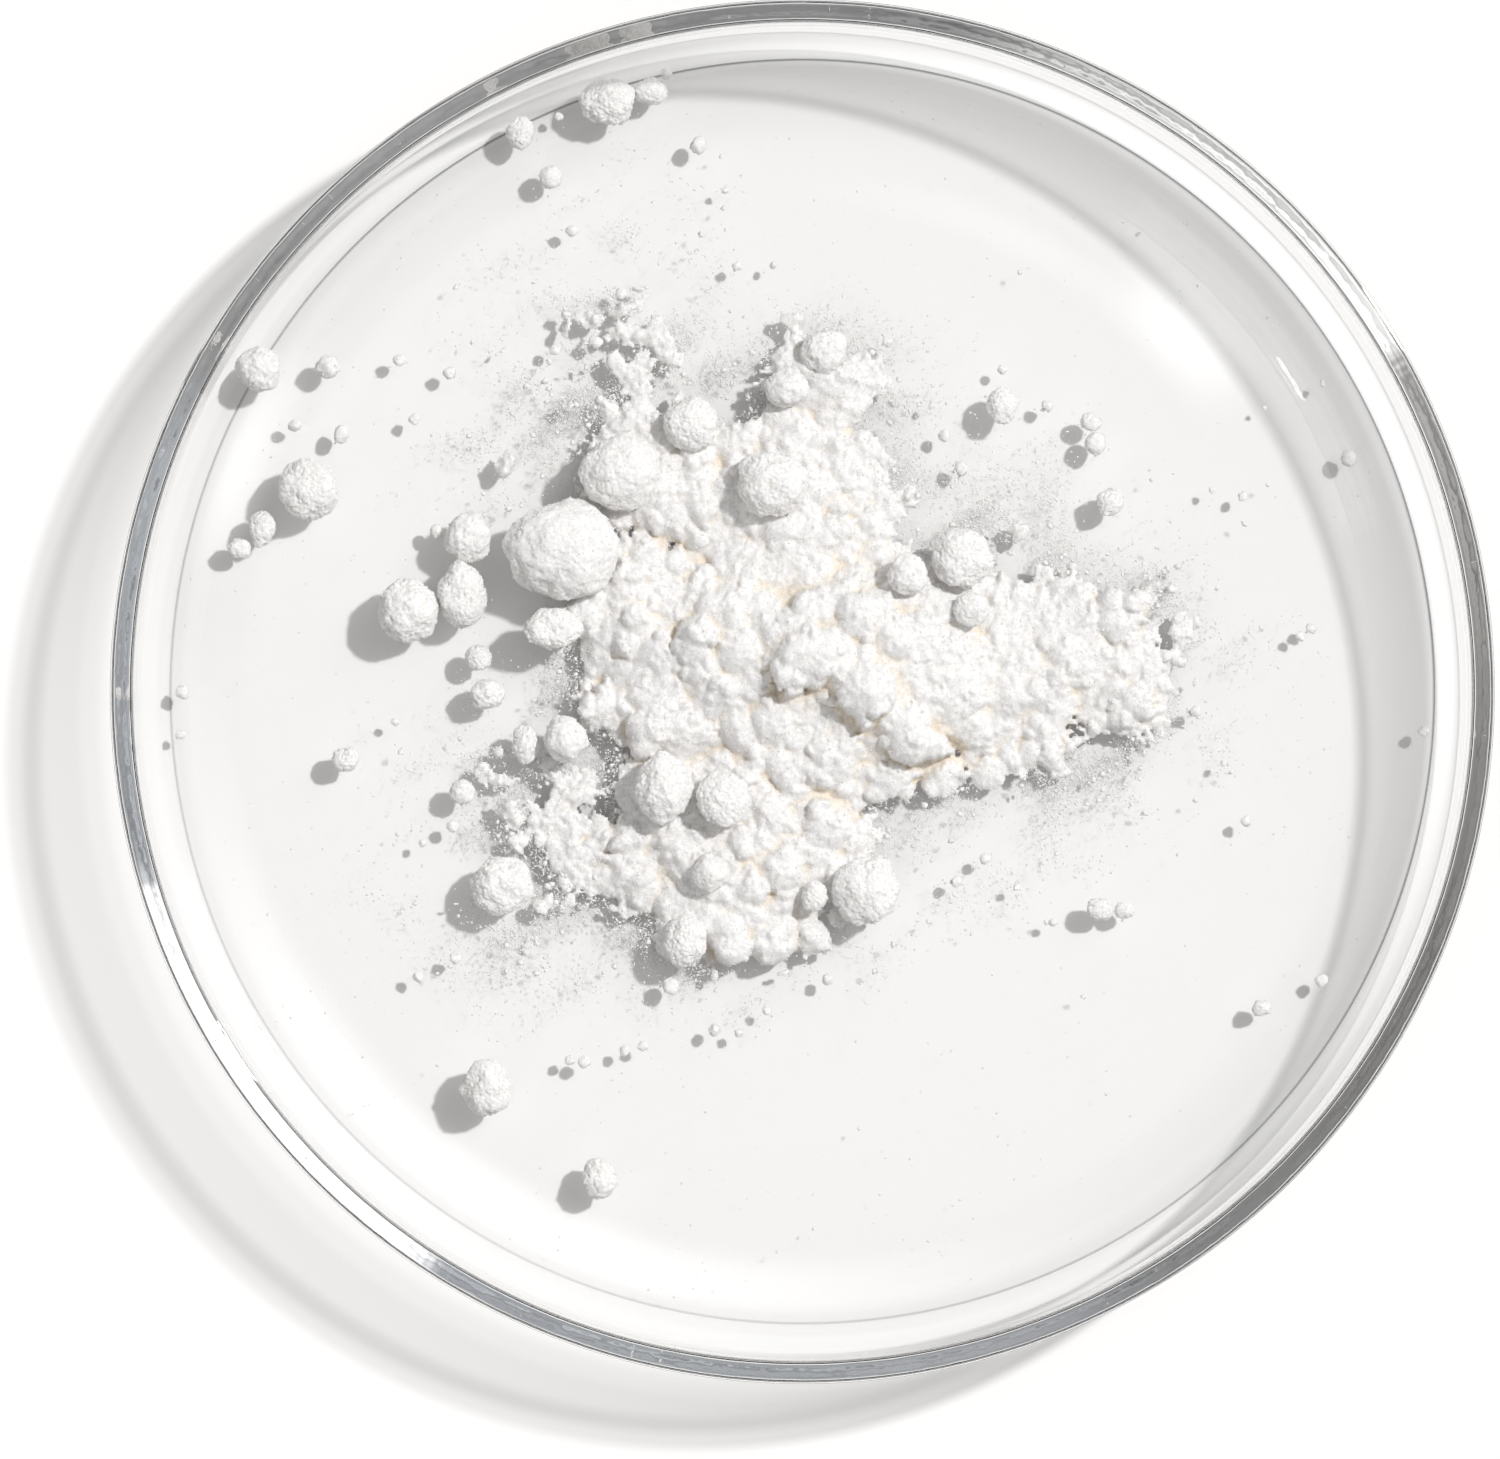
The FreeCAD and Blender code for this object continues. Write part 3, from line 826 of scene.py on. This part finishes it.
def add_painted_caustics(material):
    """Painted light: the table glows in soft bright crescents where the wall and the corner would gather
    light on it.
    """
    tree = material.node_tree
    link = tree.links.new
    place = node_of(tree, "ShaderNodeTexCoord")
    split = node_of(tree, "ShaderNodeSeparateXYZ")
    radius = node_of(tree, "ShaderNodeVectorMath", operation="LENGTH")
    link(place.outputs["Object"], split.inputs[0])
    link(place.outputs["Object"], radius.inputs[0])
    total = None
    for middle_radius, angle, half_width, half_angle, strength in PAINTED_CAUSTICS:
        turned = node_of(tree, "ShaderNodeVectorRotate", rotation_type="Z_AXIS")
        turned.inputs["Angle"].default_value = math.radians(-angle)
        parts = node_of(tree, "ShaderNodeSeparateXYZ")
        turn = node_of(tree, "ShaderNodeMath", operation="ARCTAN2")
        link(place.outputs["Object"], turned.inputs["Vector"])
        link(turned.outputs[0], parts.inputs[0])
        link(parts.outputs["Y"], turn.inputs[0])
        link(parts.outputs["X"], turn.inputs[1])
        across = soft_step(tree, radius.outputs["Value"], middle_radius, half_width)
        along = soft_step(tree, turn.outputs[0], 0.0, math.radians(half_angle))
        spot = node_of(tree, "ShaderNodeMath", operation="MULTIPLY")
        scaled = node_of(tree, "ShaderNodeMath", operation="MULTIPLY_ADD")
        scaled.inputs[1].default_value = strength
        link(across, spot.inputs[0])
        link(along, spot.inputs[1])
        link(spot.outputs[0], scaled.inputs[0])
        if total is not None:
            link(total, scaled.inputs[2])
        else:
            scaled.inputs[2].default_value = 0.0
        total = scaled.outputs[0]
    shader = tree.nodes["Principled BSDF"]
    # Painted light: the crescents glow through the table's emission.
    shader.inputs["Emission Color"].default_value = (1, 1, 1, 1)
    link(total, shader.inputs["Emission Strength"])


# The key light's direction, in degrees
LIGHT_ELEVATION = 57.6
LIGHT_AZIMUTH = 32.7

# Brightness of the room high round the table, by azimuth in degrees: only the rim and the wall reflect it
ROOM = [
    (-180.0, (0.24, 0.23, 0.22)), (-152.0, (0.34, 0.33, 0.32)), (-149.0, (0.95, 0.95, 0.93)),
    (-143.0, (0.95, 0.95, 0.93)), (-138.0, (0.78, 0.78, 0.77)), (-112.0, (0.52, 0.52, 0.51)),
    (-104.0, (0.22, 0.22, 0.22)), (-30.0, (0.20, 0.20, 0.20)), (-20.0, (0.31, 0.325, 0.345)),
    (15.0, (0.31, 0.325, 0.345)), (18.0, (1.4, 1.4, 1.4)), (54.0, (1.4, 1.4, 1.4)),
    (58.0, (0.29, 0.305, 0.325)), (112.0, (0.27, 0.28, 0.295)), (124.0, (0.17, 0.17, 0.17)),
    (179.0, (0.24, 0.23, 0.22)),
]
# How far the room's tones show by height, from the horizon at zero to straight up at one
ROOM_HEIGHTS = [(0.0, (0, 0, 0)), (0.52, (0, 0, 0)), (0.64, (1, 1, 1)), (0.93, (1, 1, 1)), (0.98, (0, 0, 0))]
SURROUND = 0.70


def fill_ramp(ramp, stops):
    """Set a colour ramp's stops from (position, colour) pairs."""
    while len(ramp.elements) < len(stops):
        ramp.elements.new(1.0)
    for element, (position, colour) in zip(ramp.elements, stops):
        element.position = position
        element.color = (*colour, 1.0)


def make_light():
    """A high key light from the upper right and an even surround."""
    sun = bpy.data.lights.new("key", "SUN")
    sun.energy = 2.12
    sun.angle = math.radians(3.2)
    key = bpy.data.objects.new("key", sun)
    bpy.context.scene.collection.objects.link(key)
    key.rotation_euler = (0, math.radians(90 - LIGHT_ELEVATION), math.radians(LIGHT_AZIMUTH))
    world = bpy.data.worlds.new("studio")
    bpy.context.scene.world = world
    world.use_nodes = True
    tree = world.node_tree
    link = tree.links.new
    place = node_of(tree, "ShaderNodeTexCoord")
    split = node_of(tree, "ShaderNodeSeparateXYZ")
    azimuth = node_of(tree, "ShaderNodeMath", operation="ARCTAN2")
    round_share = node_of(tree, "ShaderNodeMapRange")
    round_share.inputs["From Min"].default_value = -math.pi
    round_share.inputs["From Max"].default_value = math.pi
    walls = node_of(tree, "ShaderNodeValToRGB")
    fill_ramp(walls.color_ramp, [((degrees + 180.0) / 360.0, colour) for degrees, colour in ROOM])
    band = node_of(tree, "ShaderNodeValToRGB")
    fill_ramp(band.color_ramp, ROOM_HEIGHTS)
    streak_scale = node_of(tree, "ShaderNodeVectorMath", operation="MULTIPLY")
    streak_scale.inputs[1].default_value = (1.4, 1.4, 22.0)
    streaks = node_of(tree, "ShaderNodeTexNoise")
    streaks.inputs["Scale"].default_value = 1.0
    streaks.inputs["Detail"].default_value = 3.0
    streak_range = node_of(tree, "ShaderNodeMapRange")
    streak_range.inputs["From Min"].default_value = 0.3
    streak_range.inputs["From Max"].default_value = 0.7
    streak_range.inputs["To Min"].default_value = 0.5
    streak_range.inputs["To Max"].default_value = 1.6
    streaked = node_of(tree, "ShaderNodeMix", data_type="RGBA", blend_type="MULTIPLY")
    streaked.inputs["Factor"].default_value = 1.0
    room = node_of(tree, "ShaderNodeMix", data_type="RGBA")
    room.inputs["A"].default_value = (SURROUND, SURROUND, SURROUND, 1)
    link(place.outputs["Generated"], split.inputs[0])
    link(split.outputs["Y"], azimuth.inputs[0])
    link(split.outputs["X"], azimuth.inputs[1])
    link(azimuth.outputs[0], round_share.inputs["Value"])
    link(round_share.outputs["Result"], walls.inputs["Fac"])
    link(split.outputs["Z"], band.inputs["Fac"])
    link(place.outputs["Generated"], streak_scale.inputs[0])
    link(streak_scale.outputs[0], streaks.inputs["Vector"])
    link(streaks.outputs["Fac"], streak_range.inputs["Value"])
    link(walls.outputs["Color"], streaked.inputs["A"])
    link(streak_range.outputs["Result"], streaked.inputs["B"])
    link(band.outputs["Color"], room.inputs["Factor"])
    link(streaked.outputs["Result"], room.inputs["B"])
    link(room.outputs["Result"], tree.nodes["Background"].inputs["Color"])
    tree.nodes["Background"].inputs["Strength"].default_value = 1.0


def make_camera():
    """Straight above the dish, with the dish a little right of and below the middle of the picture."""
    distance = 2.0
    data = bpy.data.cameras.new("camera")
    data.sensor_width = 36.0
    data.lens = 16.62 * (distance - HEIGHT) / OUTER_RADIUS
    data.shift_x = -0.0349
    data.shift_y = -0.0253
    data.clip_start = 0.1
    data.clip_end = 50.0
    camera = bpy.data.objects.new("camera", data)
    camera.location = (0, 0, distance)
    bpy.context.scene.collection.objects.link(camera)
    bpy.context.scene.camera = camera


glass = make_dish()
make_part(glass, "dish", glass_material(), ["dish"])
powder = powder_material("white_powder")
surface = mound_field()
make_part(make_mound(*surface), "powder", powder, ["powder_mound"])
lumps = []
for number, node in enumerate(sorted(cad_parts)):
    if node.startswith("lump_"):
        lumps.append(make_lump(node, number))
        make_part(lumps[-1], "powder", powder, [node])
    if node.startswith("crumbs_"):
        make_part(make_crumbs(node, number), "powder", powder, [node])
dust = powder_material("powder_dust", loose=True)
make_dust(dust)
rng = np.random.default_rng(45)
make_clinging_grains("grains_on_mound", *mound_grain_places(*surface, rng), rng, dust)
make_clinging_grains("grains_on_lumps", *lump_grain_places(lumps, rng), rng, dust)
make_table()
make_light()
make_camera()
bpy.context.scene.view_settings.view_transform = "Standard"
